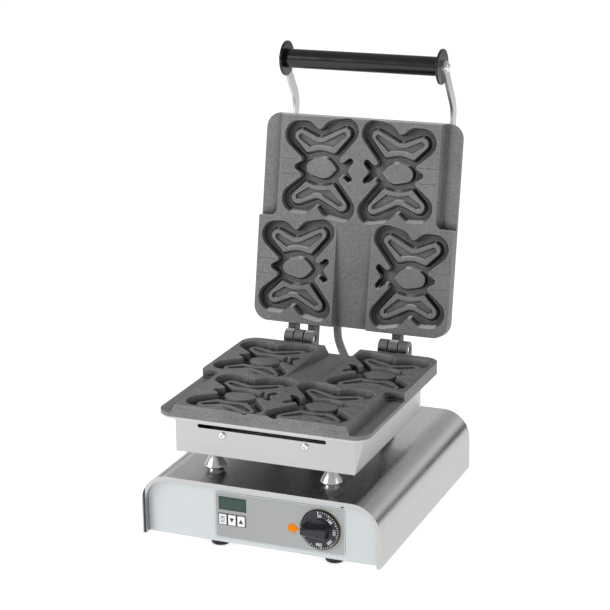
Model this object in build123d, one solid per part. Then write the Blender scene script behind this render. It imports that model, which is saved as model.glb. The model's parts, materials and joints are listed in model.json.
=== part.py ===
"""Countertop electric waffle baker with four butterfly moulds, lid standing open.

Frame: millimetres, X to the right, +Y to the back, +Z up. The origin is on the table, under
the centre of the whole open machine. Parts of the lid are modelled as the lower unit's parts
are, then turned over and swung open about the hinge pins.
"""
from build123d import *
from math import asin, atan2, cos, hypot, pi, sin, tan, radians
import os

# ---------------------------------------------------------------- driving dimensions
base_w, base_d, cover_h = 310.0, 345.0, 78.0  # wrap-round base cover
bend_r, sheet_t, hem_w = 36.0, 1.5, 5.0
foot_h = 24.0  # table to the cover's lower edge
front_y = -202.95  # front edge of the cover
panel_set_back, panel_t = 9.0, 1.2

plate_w, plate_l = 271.0, 276.0  # each casting
flange_t, rise = 5.0, 10.5  # flange thickness, raised part above the flange
front_half_w = 109.5  # half width of the raised front part, at its top
rear_block_l = 140.0  # length of the full-width rear part
plate_set_back = 281.4  # cover front to the castings' rear edge
parting_z = foot_h + 170.0
plate_corner_r = 20.0

trough_half_w, trough_floor_half_w, trough_l = 25.0, 19.0, 138.0
mould_depth, mould_draft = 10.5, 3.3
rib_depth, pan_depth, body_depth = 4.5, 7.8, 4.8  # tops of the ribs, pans and body pad
front_mould_x, front_mould_v = 52.0, 207.0
rear_mould_x, rear_mould_v = 77.5, 73.0

tray_half_w, tray_flare = 115.8, 7.5  # housing below the casting
tray_front, tray_rear = 20.4, 258.6  # from the cover's front edge
tray_h, tray_t, rim_t = 46.0, 1.2, 3.0

pin_back, gap_half, open_angle = 18.0, 0.75, 100.5
pin_r, knuckle_r, knuckle_w, knuckle_gap = 5.0, 10.5, 12.0, 2.0
hinge_inner_x = 46.0
shaft_clearance = 0.05

grip_r, grip_v, grip_w, grip_half_l = 12.5, 347.3, -5.0, 105.0
disc_r, disc_t, arm_t, arm_w = 23.0, 3.0, 4.0, 14.0
arm_foot_w, arm_bend_v, arm_bend_r = 45.7, 295.6, 32.0

fascia_w, fascia_h, fascia_t = 168.4, 60.4, 0.5
fascia_x, fascia_z = 23.8, foot_h + 35.6
dial_x, dial_z, dial_r = 77.0, foot_h + 36.2, 25.5
display_x, display_z, display_w, display_h = -37.3, foot_h + 51.0, 34.8, 15.8
key_x, key_z, key_w, key_h, key_pitch = -38.0, foot_h + 30.4, 9.6, 13.0, 12.1
arrow_x, arrow_z = 42.2, foot_h + 32.2
key_travel, key_clearance = 1.0, 0.35

conduit_r, gland_l = 5.5, 16.0
conduit_low_x, conduit_low_z = 4.0, 24.5  # the lower gland: X, and height above the housing's floor
conduit_lid_x, conduit_lid_z = 30.0, 26.0  # the lid's gland, the same way before the lid is turned

# ---------------------------------------------------------------- derived places
cover_top_z = foot_h + cover_h
plate_rear_y = front_y + plate_set_back
plate_front_y = plate_rear_y - plate_l
casting_t = flange_t + rise
pin_y, pin_z = plate_rear_y + pin_back, parting_z + gap_half
tray_top_z = parting_z - casting_t - rim_t
tray_bottom_z = tray_top_z - tray_h
tray_front_y, tray_rear_y = front_y + tray_front, front_y + tray_rear
panel_y = front_y + panel_set_back
fascia_y = panel_y - fascia_t
rear_panel_y = front_y + base_d - panel_set_back - panel_t
lip_l = 14.0  # lips along the foot of the front and rear panels
screw_z = tray_top_z - 18.5  # screws in a housing's front wall
gland_x, gland_z = 95.0, foot_h + 30.0  # mains cable gland
sleeve_x, sleeve_y = 0.0, front_y + 190.0  # wiring sleeve between the base and the lower housing
floor_z = foot_h + panel_t
floor_top_z = floor_z + 1.5
wall_half_w = base_w / 2 - sheet_t
standoff_spots = [(x, front_y + y) for x in (-76.0, 76.0) for y in (46.8, 232.2)]
foot_spots = [(x, front_y + y) for x in (-76.0, 76.0) for y in (57.0, base_d - 57.0)]


# ---------------------------------------------------------------- small helpers
def block(x0, x1, y0, y1, z0, z1):
    """A box between six planes."""
    centre = ((x0 + x1) / 2, (y0 + y1) / 2, (z0 + z1) / 2)
    return Pos(*centre) * Box(x1 - x0, y1 - y0, z1 - z0)


def rod(start, end, r):
    """A round bar from one point to another."""
    axis = Vector(*end) - Vector(*start)
    return extrude(Plane(start, z_dir=axis) * Circle(r), axis.length)


def turned(points, x, y, z):
    """A piece turned on the Z axis from its half section of (radius, height) points."""
    section = Plane.XZ * make_face(Polyline(*points, close=True))
    return Pos(x, y, z) * revolve(section, Axis.Z)


def prism(face, z0, z1):
    """A sketch in the XY plane, raised from z0 to z1."""
    return Pos(0, 0, z0) * extrude(face, z1 - z0)


def hexagon(x, y, z, across, height):
    return Pos(x, y, z) * extrude(RegularPolygon(across / 2, 6, major_radius=False), height)


def joined(pieces):
    """Several separate solids kept as one group."""
    return Compound(children=[piece.solid() for piece in pieces])


def belt(circles, inset=0.0, min_r=0.4):
    """A closed outline that runs round circles (x, y, r), tangent from each to the next.

    Circles come in anticlockwise order. A positive radius is a corner that bulges out and a
    negative one is a hollow. The inset moves the whole outline inwards.
    """
    rounds = []
    for x, y, r in circles:
        kept = r - inset
        rounds.append((x, y, max(kept, min_r) if r > 0 else kept))
    count = len(rounds)
    ends = [[None, None] for _ in rounds]
    headings = []
    for i in range(count):
        (xa, ya, ra), (xb, yb, rb) = rounds[i], rounds[(i + 1) % count]
        heading = atan2(yb - ya, xb - xa) - asin((rb - ra) / hypot(xb - xa, yb - ya))
        headings.append(heading)
        nx, ny = -sin(heading), cos(heading)
        ends[i][1] = (xa - nx * ra, ya - ny * ra)
        ends[(i + 1) % count][0] = (xb - nx * rb, yb - ny * rb)
    edges = []
    for i in range(count):
        x, y, r = rounds[i]
        turn = headings[i] - headings[i - 1]
        while turn * r < 0:
            turn += 2 * pi if r > 0 else -2 * pi
        while abs(turn) > 2 * pi:
            turn -= 2 * pi if turn > 0 else -2 * pi
        middle = headings[i - 1] + turn / 2
        peak = (x + sin(middle) * r, y - cos(middle) * r)
        edges.append(ThreePointArc(ends[i][0], peak, ends[i][1]))
        edges.append(Line(ends[i][1], ends[(i + 1) % count][0]))
    return make_face(edges)


def tapered(circles, top_w, bottom_w, inset_top, inset_bottom):
    """A belt outline lofted between two depths below the parting plane."""
    top = Pos(0, 0, -top_w) * belt(circles, inset_top)
    bottom = Pos(0, 0, -bottom_w) * belt(circles, inset_bottom)
    return loft([top, bottom], ruled=True)


# ---------------------------------------------------------------- base
def wrap_face(inset, bottom=0.0):
    """The cover's cross-section seen from the front, moved inwards by an inset."""
    w, h, r = base_w - 2 * inset, cover_h - inset - bottom, bend_r - inset
    face = Pos(0, bottom + h / 2) * Rectangle(w, h)
    top = face.vertices().sort_by(Axis.Y)[-2:]
    return fillet(top, r)


def wrap_slab(inset, y0, y1, bottom=0.0):
    """The cover's cross-section, extruded along Y."""
    face = Plane((0, y1, foot_h), x_dir=(1, 0, 0), z_dir=(0, -1, 0)) * wrap_face(inset, bottom)
    return extrude(face, y1 - y0)


def make_base_cover():
    back = front_y + base_d
    cover = wrap_slab(0, front_y, back) - wrap_slab(sheet_t, front_y - 1, back + 1, -1)
    for y0 in (front_y, back - panel_set_back):
        cover += wrap_slab(0, y0, y0 + panel_set_back) - wrap_slab(hem_w, y0 - 1, y0 + panel_set_back + 1, -1)
    for x, y in standoff_spots:
        cover -= Pos(x, y, cover_top_z) * Cylinder(2.6, 10)
    cover -= Pos(sleeve_x, sleeve_y, cover_top_z) * Cylinder(9.2, 10)
    return cover


def make_front_panel():
    panel = wrap_slab(sheet_t + 0.1, panel_y, panel_y + panel_t)
    panel += block(-140, 140, panel_y, panel_y + lip_l, foot_h, floor_z)
    panel -= Pos(dial_x, panel_y, dial_z) * Rot(90, 0, 0) * Cylinder(6.0, 10)
    panel -= window_block(display_x, display_z, display_w, display_h, 0)
    for x in key_places():
        panel -= window_block(x, key_z, key_w, key_h, key_clearance)
    return panel


def window_block(x, z, w, h, clearance):
    """A cutter through the front panel for a rectangular opening."""
    half_w, half_h = w / 2 + clearance, h / 2 + clearance
    return block(x - half_w, x + half_w, front_y - 5, panel_y + 5, z - half_h, z + half_h)


def key_places():
    return [key_x + i * key_pitch for i in (-1, 0, 1)]


def make_rear_panel():
    panel = wrap_slab(sheet_t + 0.1, rear_panel_y, rear_panel_y + panel_t)
    panel += block(-140, 140, rear_panel_y + panel_t - lip_l, rear_panel_y + panel_t, foot_h, floor_z)
    for i in range(7):
        z = foot_h + 22 + 6 * i
        panel -= block(-60, 30, rear_panel_y - 2, rear_panel_y + 4, z, z + 2.5)
    panel -= Pos(gland_x, rear_panel_y, gland_z) * Rot(90, 0, 0) * Cylinder(8.1, 10)
    return panel


def make_bottom_plate():
    half = wall_half_w - 0.1
    y0, y1 = panel_y + panel_t, rear_panel_y
    plate = block(-half, half, y0, y1, floor_z, floor_top_z)
    for i in range(9):
        x = -72 + 18 * i
        plate -= Pos(x, front_y + base_d / 2, floor_z) * extrude(SlotOverall(90, 5, rotation=90), 5)
    for x, y in foot_spots:
        plate -= Pos(x, y, floor_z) * Cylinder(2.6, 10)
    for x0 in (-half, half - 1.5):
        plate += block(x0, x0 + 1.5, y0, y1, floor_top_z, floor_top_z + 12)
    return plate


def make_foot(x, y):
    section = [(0, 0), (10.5, 0), (12.0, 1.5), (13.2, 20), (13.2, floor_z), (2.6, floor_z), (2.6, 8.0),
               (0, 8.0)]
    return turned(section, x, y, 0)


def make_foot_screws():
    """Studs moulded into the feet, with a nut on the base's floor."""
    screws = []
    for x, y in foot_spots:
        stud = Pos(x, y, 0) * prism(Circle(2.6), 8, floor_top_z + 8)
        screws.append(stud + hexagon(x, y, floor_top_z, 9, 4.5))
    return joined(screws)


def make_standoff(x, y):
    gap = tray_bottom_z - cover_top_z
    section = [(2.6, 0), (9.5, 0), (9.8, 2.5), (13.7, 5.5), (13.4, 6.4), (6.0, 19.5), (5.6, 21.5), (5.6, gap),
               (2.6, gap)]
    return turned(section, x, y, cover_top_z)


def make_standoff_screws():
    """Studs that hold the housing to the base, with a nut inside each end."""
    screws = []
    for x, y in standoff_spots:
        top_z = tray_bottom_z + tray_t
        stud = Pos(x, y, 0) * prism(Circle(2.5), cover_top_z - 8, top_z + 6)
        stud += hexagon(x, y, top_z, 8, 4)
        stud += hexagon(x, y, cover_top_z - sheet_t - 4, 8, 4)
        screws.append(stud)
    return joined(screws)


# ---------------------------------------------------------------- controls
def make_fascia():
    face = Plane((fascia_x, panel_y, fascia_z), x_dir=(1, 0, 0), z_dir=(0, -1, 0)) \
        * RectangleRounded(fascia_w, fascia_h, 5.0)
    fascia = extrude(face, fascia_t)
    fascia -= Pos(dial_x, panel_y, dial_z) * Rot(90, 0, 0) * Cylinder(6.0, 10)
    fascia -= window_block(display_x, display_z, display_w, display_h, 0)
    for x in key_places():
        fascia -= window_block(x, key_z, key_w, key_h, key_clearance)
    return fascia


def make_display_window():
    half_w, half_h = display_w / 2, display_h / 2
    lens = block(display_x - half_w, display_x + half_w, fascia_y - 0.4, panel_y + panel_t,
                 display_z - half_h, display_z + half_h)
    return fillet(lens.faces().sort_by(Axis.Y)[0].edges(), 0.3)


def make_key(x):
    half_w, half_h = key_w / 2, key_h / 2
    cap = block(x - half_w, x + half_w, fascia_y - 1.3, panel_y + panel_t + 0.3, key_z - half_h, key_z + half_h)
    cap = fillet(cap.faces().sort_by(Axis.Y)[0].edges(), 0.5)
    back_y, wide, high = panel_y + panel_t + 0.3, half_w + 1.0, half_h + 2.0
    return cap + block(x - wide, x + wide, back_y, back_y + 1.0, key_z - high, key_z + high)


def make_timer_module():
    """Timer housing behind the panel, with a pocket for the keys' travel."""
    y0 = panel_y + panel_t
    body = block(display_x - 26, display_x + 26, y0, y0 + 26, foot_h + 16, foot_h + 66)
    body -= block(key_x - 22, key_x + 22, y0 - 1, y0 + 3.2, key_z - 10, key_z + 10)
    for x in key_places():
        body += Pos(x, y0 + 3.4, key_z) * Rot(90, 0, 0) * Cylinder(1.6, 0.6)
    return fillet(body.edges().filter_by(Axis.Y).filter_by_position(Axis.Z, foot_h + 60, foot_h + 70), 2)


def make_pointer_arrow():
    """Sticker-thin arrow that points at the dial."""
    tail, neck, tip = -7.2, -1.5, 7.2
    half_tail, half_head = 4.2, 7.1
    outline = [(tail, -half_tail), (neck, -half_tail), (neck, -half_head), (tip, 0), (neck, half_head),
               (neck, half_tail), (tail, half_tail)]
    face = Plane((arrow_x, fascia_y, arrow_z), x_dir=(1, 0, 0), z_dir=(0, -1, 0)) \
        * make_face(Polyline(*outline, close=True))
    return extrude(face, 0.4)


def on_dial(shape):
    """Places a shape drawn about +Z onto the dial's axis, facing forwards."""
    return Pos(dial_x, fascia_y, dial_z) * Rot(90, 0, 0) * shape


def make_thermostat_knob():
    skirt = Pos(0, 0, 0.8) * extrude(Circle(dial_r), 3.2)
    skirt = chamfer(skirt.faces().sort_by(Axis.Z)[-1].edges(), 1.2)
    hub = Pos(0, 0, 4.0) * extrude(Circle(14.6), 2.0)
    hub = chamfer(hub.faces().sort_by(Axis.Z)[-1].edges(), 1.0)
    bar_points = [(-21.5, -5.0), (11.5, -8.0), (13.0, -6.5), (13.0, 6.5), (11.5, 8.0), (-21.5, 5.0)]
    bar = Pos(0, 0, 4.0) * extrude(make_face(Polyline(*bar_points, close=True)), 13.0, taper=6)
    bar = chamfer(bar.faces().sort_by(Axis.Z)[-1].edges(), 0.8)
    bore = Pos(0, 0, -1) * extrude(Circle(3.0 + shaft_clearance) - flat_cutter(), 14)
    return on_dial(skirt + hub + bar - bore)


def flat_cutter():
    """The side of the D-shaped shaft that is milled flat."""
    return Pos(0, 4.6) * Rectangle(8, 4.6)


def make_thermostat_spindle():
    shaft = Pos(0, 0, -18) * extrude(Circle(3.0), 30)
    flat = Pos(0, 0, 0.8) * extrude(flat_cutter(), 12)
    return on_dial(shaft - flat)


def make_thermostat_body():
    """Capillary thermostat behind the panel, with its bush in the panel's hole."""
    y0 = panel_y + panel_t
    case = block(dial_x - 20, dial_x + 20, y0, y0 + 34, dial_z - 17, dial_z + 17)
    case = fillet(case.edges().filter_by(Axis.Y), 4)
    bush = Pos(dial_x, y0, dial_z) * Rot(90, 0, 0) * extrude(Circle(5.5), panel_t)
    bore = Pos(dial_x, y0 + 22, dial_z) * Rot(90, 0, 0) * extrude(Circle(3.0 + shaft_clearance), 30)
    return case + bush - bore


def make_contactor():
    """Contactor for the two elements, standing on the base's floor."""
    y0 = front_y + 110
    body = block(-105, -60, y0, y0 + 55, floor_top_z, floor_top_z + 48)
    for i in range(3):
        x = -97 + 14.5 * i
        body -= block(x - 4, x + 4, y0 - 1, y0 + 10, floor_top_z + 38, floor_top_z + 49)
    return body


def make_terminal_block():
    """Six-way ceramic block for the mains lead and the elements' wires."""
    x0, y0, z0 = -30.0, rear_panel_y - 48.0, floor_top_z
    body = block(x0, x0 + 66, y0, y0 + 22, z0, z0 + 20)
    for i in range(6):
        x = x0 + 5.5 + 11 * i
        body -= Pos(x, y0 + 11, z0 + 20) * Cylinder(3.2, 16)
    return body


# ---------------------------------------------------------------- mains gland, sleeve, conduit
def make_cable_gland():
    """Inlet for the mains lead, screwed through the rear panel."""
    y1 = rear_panel_y + panel_t
    thread = rod((gland_x, rear_panel_y - 10, gland_z), (gland_x, y1, gland_z), 8.0)
    flange = rod((gland_x, y1, gland_z), (gland_x, y1 + 5, gland_z), 12.0)
    dome = rod((gland_x, y1 + 5, gland_z), (gland_x, y1 + 15, gland_z), 9.5)
    dome = fillet(dome.faces().sort_by(Axis.Y)[-1].edges(), 3)
    bore = rod((gland_x, rear_panel_y - 20, gland_z), (gland_x, y1 + 20, gland_z), 4.5)
    return thread + flange + dome - bore


def make_gland_nut():
    ring = Plane((gland_x, rear_panel_y, gland_z), x_dir=(1, 0, 0), z_dir=(0, -1, 0)) \
        * (RegularPolygon(12, 6, major_radius=False) - Circle(8.0))
    return extrude(ring, 5)


def make_wiring_sleeve():
    """Tube that takes the wires and the capillary from the base into the lower housing."""
    z0, z1 = cover_top_z - 12, tray_bottom_z + 6
    return Pos(sleeve_x, sleeve_y, 0) * (prism(Circle(9.0), z0, z1) - prism(Circle(7.5), z0 - 1, z1 + 1))


def make_conduit_gland(x, z):
    """Gland on a housing's rear wall, where the conduit between the two housings goes in."""
    section = [(conduit_r, -10), (8.0, -10), (8.0, 0), (10.5, 0), (10.5, 5), (9.3, 6), (9.3, 13),
               (7.6, gland_l), (conduit_r, gland_l)]
    gland = revolve(Plane.XZ * make_face(Polyline(*section, close=True)), Axis.Z)
    return Pos(x, tray_rear_y, z) * Rot(-90, 0, 0) * gland


def gland_hole(x, z):
    return rod((x, tray_rear_y - 5, z), (x, tray_rear_y + 5, z), 8.2)


def conduit_points():
    """The conduit's route behind the hinges, from the lower housing's gland to the lid's."""
    x, y, z = conduit_low_x, tray_rear_y + gland_l, tray_bottom_z + conduit_low_z
    lid_x, lid_z = conduit_lid_x, tray_bottom_z + conduit_lid_z
    return [(x, y, z), (x, y + 21.4, z), (-4.0, front_y + 316, foot_h + 134),
            (-20.0, front_y + 332, foot_h + 147), lid_point(lid_x, tray_rear_y + gland_l + 22, lid_z),
            lid_point(lid_x, tray_rear_y + gland_l, lid_z)]


def tube_along(points, outer, inner=None):
    """A tube whose path is straight runs joined by the largest arcs that fit them."""
    radii = []
    for a, b, c in zip(points, points[1:], points[2:]):
        run_in, run_out = Vector(*b) - Vector(*a), Vector(*c) - Vector(*b)
        turn = radians(run_in.get_angle(run_out))
        radii.append(0.45 * min(run_in.length, run_out.length) / tan(turn / 2))
    path = FilletPolyline(*points, radius=radii)
    start = Plane(points[0], z_dir=Vector(*points[1]) - Vector(*points[0]))
    section = Circle(outer) if inner is None else Circle(outer) - Circle(inner)
    tube = sweep(start * section, path=path)
    area = section.area
    print(f"tube: length {path.length:.1f}, volume ratio {tube.volume / (area * path.length):.4f},",
          "radii", [round(r) for r in radii])
    return tube


# ---------------------------------------------------------------- castings
def half_outline():
    """Upper half of the butterfly's outline, head to the right, as belt circles."""
    return [(40.5, 11.7, 4.5), (29.5, 13.0, -3.3), (33.0, 50.5, 17.5), (17.0, 45.5, 19.3),
            (-4.5, 55.5, -4.0), (-24.0, 44.0, 17.5), (-34.0, 42.0, 19.0), (-31.0, 10.5, -3.5)]


def mirrored(circles):
    return [(x, -y, r) for x, y, r in reversed(circles)]


def make_mould():
    """One butterfly cavity as a cutter. It leaves a ribbed pan in each wing and a pad for the body."""
    upper = half_outline()
    outline = [(43.5, 0.0, -5.0)] + upper + [(-33.5, 0.0, 4.0)] + mirrored(upper)
    wing = [(30.0, 47.0, 6.8), (-5.0, 52.0, -13.0), (-32.0, 40.5, 7.8), (-21.5, 22.7, 2.5),
            (-2.5, -5.0, -29.5), (16.0, 23.7, 2.5)]
    pan = [(28.5, 45.5, 3.6), (-5.0, 52.0, -18.0), (-31.0, 39.5, 4.2), (-17.5, 27.7, 1.5),
           (-2.5, -5.0, -33.8), (12.5, 28.7, 1.5)]
    pad = [(18.5, 0.0, 1.2), (2.0, -2.5, 15.2), (-12.0, 0.0, 9.5), (2.0, 2.5, 15.2)]
    cavity = tapered(outline, 0, mould_depth, 0, mould_draft)
    for turn in (list, mirrored):
        cavity -= tapered(turn(wing), rib_depth, mould_depth, 0, -4.0)
        cavity += tapered(turn(pan), rib_depth, pan_depth, 0, 1.2)
    cavity -= tapered(pad, body_depth, mould_depth, 0, -3.0)
    return cavity


def make_vents(x, v, tail_x):
    """Two fine steam grooves from the mould's tail to the casting's edge."""
    grooves = []
    for offset in (-10.0, 10.0):
        y = plate_rear_y - v + offset
        grooves.append(block(min(x, tail_x), max(x, tail_x), y - 0.5, y + 0.5, parting_z - 0.7, parting_z + 1))
    return grooves


def rear_block():
    """The full-width rear half of the raised part."""
    half, y1 = plate_w / 2, plate_rear_y
    return block(-half, half, y1 - rear_block_l, y1, parting_z - casting_t, parting_z)


def front_block():
    """The narrower front half of the raised part, with drafted walls."""
    y0, y1 = plate_front_y, plate_rear_y - rear_block_l + 8
    draft, depth = 5.5, rise
    base = Pos(0, (y0 + y1) / 2, parting_z - rise) * Rectangle(2 * (front_half_w + draft), y1 - y0)
    top = Pos(0, (y0 + y1) / 2 + 1, parting_z) * Rectangle(2 * front_half_w, y1 - y0 - 2)
    return loft([base, top], ruled=True)


def recess_fillet(side):
    """The rounded inner corner where the narrow front part meets the full-width rear."""
    r, x = 13.0, side * (front_half_w - 0.3)
    y = plate_rear_y - rear_block_l
    corner = block(min(x, x + side * r), max(x, x + side * r), y - r, y + 1, parting_z - rise - 1, parting_z)
    corner -= Pos(x + side * r, y - r, parting_z) * Cylinder(r, 60)
    return corner


def make_casting(single_side):
    """A mould plate. The single knuckle is on one side and the forked one on the other."""
    outline = Pos(0, (plate_front_y + plate_rear_y) / 2) * Rectangle(plate_w, plate_l)
    outline = fillet(outline.vertices(), plate_corner_r)
    raised = rear_block() + front_block() + recess_fillet(-1) + recess_fillet(1)
    slab = prism(outline, parting_z - casting_t, parting_z)
    casting = (raised & slab) + prism(outline, parting_z - casting_t, parting_z - rise)
    casting -= make_trough()
    mould = make_mould()
    places = ((front_mould_x, front_mould_v, front_half_w + 4), (rear_mould_x, rear_mould_v, plate_w / 2 + 1))
    for side in (-1, 1):
        turn = Rot(0, 0, 0) if side < 0 else Rot(0, 0, 180)
        for x, v, reach in places:
            casting -= Pos(side * x, plate_rear_y - v, parting_z) * turn * mould
            for groove in make_vents(side * reach, v, side * (x + 31)):
                casting -= groove
    return casting + make_knuckles(single_side)


def make_trough():
    """Open channel between the rear moulds: a ramp that gets deeper towards the rear edge."""
    draft = (trough_half_w - trough_floor_half_w) / (rise + 0.5)
    sections = []
    for y, depth in ((plate_rear_y + 1, rise), (plate_rear_y - trough_l, 0.2)):
        foot_x = trough_half_w - draft * (depth + 0.5)
        outline = [(-trough_half_w, 0.5), (-foot_x, -depth), (foot_x, -depth), (trough_half_w, 0.5)]
        place = Plane((0, y, parting_z), x_dir=(1, 0, 0), z_dir=(0, -1, 0))
        sections.append(place * make_face(Polyline(*outline, close=True)))
    return loft(sections, ruled=True)


def knuckle(x0, x1):
    """A hinge knuckle with the web that joins it to the casting's rear wall."""
    y0, z0 = plate_rear_y - 0.5, parting_z - casting_t
    barrel = rod((x0, pin_y, pin_z), (x1, pin_y, pin_z), knuckle_r)
    web = block(x0, x1, y0, pin_y + knuckle_r, z0, parting_z - 2.5)
    web = fillet(web.edges().filter_by(Axis.X).sort_by(Axis.Y)[-2:], 4)
    heel = block(x0, x1, pin_y, pin_y + knuckle_r, parting_z - 6.5, pin_z)
    bore = rod((x0 - 1, pin_y, pin_z), (x1 + 1, pin_y, pin_z), pin_r + shaft_clearance)
    return barrel + web + heel - bore


def knuckle_spans(side):
    """X ranges of the three knuckles of one hinge, from the left."""
    left = -hinge_inner_x - 3 * knuckle_w - 2 * knuckle_gap if side < 0 else hinge_inner_x
    return [(left + i * (knuckle_w + knuckle_gap), left + i * (knuckle_w + knuckle_gap) + knuckle_w)
            for i in range(3)]


def make_knuckles(single_side):
    single = knuckle(*knuckle_spans(single_side)[1])
    first, _, last = knuckle_spans(-single_side)
    return single + knuckle(*first) + knuckle(*last)


def make_hinge_pin(side):
    """Plain pin, set back a little from the outer knuckles' faces."""
    x0, x1 = knuckle_spans(side)[0][0] + 1.0, knuckle_spans(side)[2][1] - 1.0
    pin = rod((x0, pin_y, pin_z), (x1, pin_y, pin_z), pin_r)
    return chamfer(pin.edges().filter_by(GeomType.CIRCLE), 0.6)


# ---------------------------------------------------------------- housings under the castings
def tray_solid(inset, extra_top=0.0):
    """Housing body: upright front and rear, sides that flare upwards past folded corners."""
    x0, flare = tray_half_w - inset, tray_flare
    y0, y1 = tray_front_y + inset, tray_rear_y - inset
    z0, z1 = tray_bottom_z + inset, tray_top_z + extra_top
    fold_front, fold_rear = 17.0, 50.0
    body = block(-x0, x0, y0, y1, z0, z1)
    for side in (-1, 1):
        lower = [Vector(side * x0, y0, z0), Vector(side * x0, y1, z0)]
        upper = [Vector(side * x0, y0, z1), Vector(side * (x0 + flare), y0 + fold_front, z1),
                 Vector(side * (x0 + flare), y1 - fold_rear, z1), Vector(side * x0, y1, z1)]
        faces = [[lower[0], lower[1], upper[3], upper[0]], [lower[0], upper[0], upper[1]],
                 [lower[0], upper[1], upper[2], lower[1]], [lower[1], upper[2], upper[3]],
                 [upper[0], upper[3], upper[2], upper[1]]]
        body += Solid(Shell([Face(Wire.make_polygon(points)) for points in faces]))
    return body


def make_housing():
    """Open steel tray with a cooling slot in its front wall and a hole for the wiring."""
    tray = tray_solid(0) - tray_solid(tray_t, 0.5)
    slot_z = tray_top_z - 10.0
    slot = Plane((-3.2, tray_front_y + 5, slot_z), x_dir=(1, 0, 0), z_dir=(0, -1, 0)) \
        * SlotOverall(166.5, 4.8)
    tray -= extrude(slot, 10)
    for x in (-53.6, 53.6):
        tray -= rod((x, tray_front_y - 1, screw_z), (x, tray_front_y + 3, screw_z), 2.1)
    return tray


def make_lower_housing():
    tray = make_housing()
    for x, y in standoff_spots:
        tray -= Pos(x, y, tray_bottom_z) * Cylinder(2.6, 10)
    tray -= gland_hole(conduit_low_x, tray_bottom_z + conduit_low_z)
    return tray - Pos(sleeve_x, sleeve_y, tray_bottom_z) * Cylinder(9.2, 10)


def make_carrier():
    """Flat steel rim between a casting and its housing."""
    outer = Pos(0, (plate_front_y + plate_rear_y) / 2) * Rectangle(plate_w - 9, plate_l - 3)
    outer = fillet(outer.vertices(), plate_corner_r - 3)
    inner = Pos(0, (tray_front_y + tray_rear_y) / 2) * Rectangle(
        2 * tray_half_w - 8, tray_rear_y - tray_front_y - 8)
    return prism(outer - inner, tray_top_z, tray_top_z + rim_t)


def make_housing_screws(under_head):
    """Two dome-head screws in the housing's front wall."""
    screws = []
    for x in (-53.6, 53.6):
        head = rod((x, tray_front_y - 2.6, screw_z), (x, tray_front_y, screw_z), 4.6)
        head = fillet(head.faces().sort_by(Axis.Y)[0].edges(), 2.3)
        shank = rod((x, tray_front_y, screw_z), (x, tray_front_y + under_head, screw_z), 2.0)
        socket = Plane((x, tray_front_y - 3, screw_z), x_dir=(1, 0, 0), z_dir=(0, 1, 0)) \
            * RegularPolygon(1.5, 6, major_radius=False)
        screws.append(head + shank - extrude(socket, 2.0))
    return joined(screws)


def make_heating_element():
    """Tubular element bent into a serpentine under the casting, tails turned down."""
    r, z = 4.0, parting_z - casting_t - 4.2
    xs = [-92.0, -46.0, 0.0, 46.0, 92.0]
    y_near, y_far = tray_front_y + 22, tray_rear_y - 22
    points = [(xs[0], y_far, z - 18), (xs[0], y_far, z)]
    for i, x in enumerate(xs):
        near_first = i % 2 == 1
        run = [(x, y_near, z), (x, y_far, z)] if near_first else [(x, y_far, z), (x, y_near, z)]
        points += run if i else run[1:]
    points.append((xs[-1], y_near, z - 18))
    path = FilletPolyline(*points, radius=[10.0] + [20.0] * (len(points) - 4) + [10.0])
    return sweep(Plane(points[0], z_dir=(0, 0, 1)) * Circle(r), path=path)


def make_element_clamps():
    """Flat bars that press the element against the casting."""
    z = parting_z - casting_t - 8.4
    bars = []
    for y in (tray_front_y + 65, tray_rear_y - 65):
        bars.append(block(-104, 104, y - 8, y + 8, z - 2.5, z))
    return joined(bars)


def make_insulation():
    """Ceramic wool slab on the housing's floor."""
    z0 = tray_bottom_z + tray_t
    slab = block(-104, 104, tray_front_y + 12, tray_rear_y - 12, z0, z0 + 20)
    for x, y in standoff_spots:
        slab -= Pos(x, y, z0) * Cylinder(8, 60)
    return slab - Pos(sleeve_x, sleeve_y, z0) * Cylinder(12, 60)


def make_thermostat_bulb():
    """Sensing phial clipped under the lower casting, between two runs of the element."""
    z = parting_z - casting_t - 3.2
    return rod((23, tray_front_y + 100, z), (23, tray_front_y + 180, z), 3.0)


def make_capillary():
    """Fine tube from the thermostat, through the sleeve, to the phial."""
    z_low, z_high = dial_z, parting_z - casting_t - 3.2
    y0 = panel_y + panel_t + 34
    points = [(dial_x, y0, z_low), (dial_x, y0 + 30, z_low), (sleeve_x + 3, sleeve_y, z_low + 4),
              (sleeve_x + 3, sleeve_y, tray_bottom_z + 24), (23, tray_front_y + 205, z_high),
              (23, tray_front_y + 180, z_high)]
    path = FilletPolyline(*points, radius=[14.0, 14.0, 8.0, 8.0])
    return sweep(Plane(points[0], z_dir=(0, 1, 0)) * Circle(1.0), path=path)


# ---------------------------------------------------------------- handle, modelled below the casting
def arm_point(v, w):
    """A point beside the casting: v forward of its rear edge, w below the parting plane."""
    return plate_rear_y - v, parting_z - w


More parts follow.
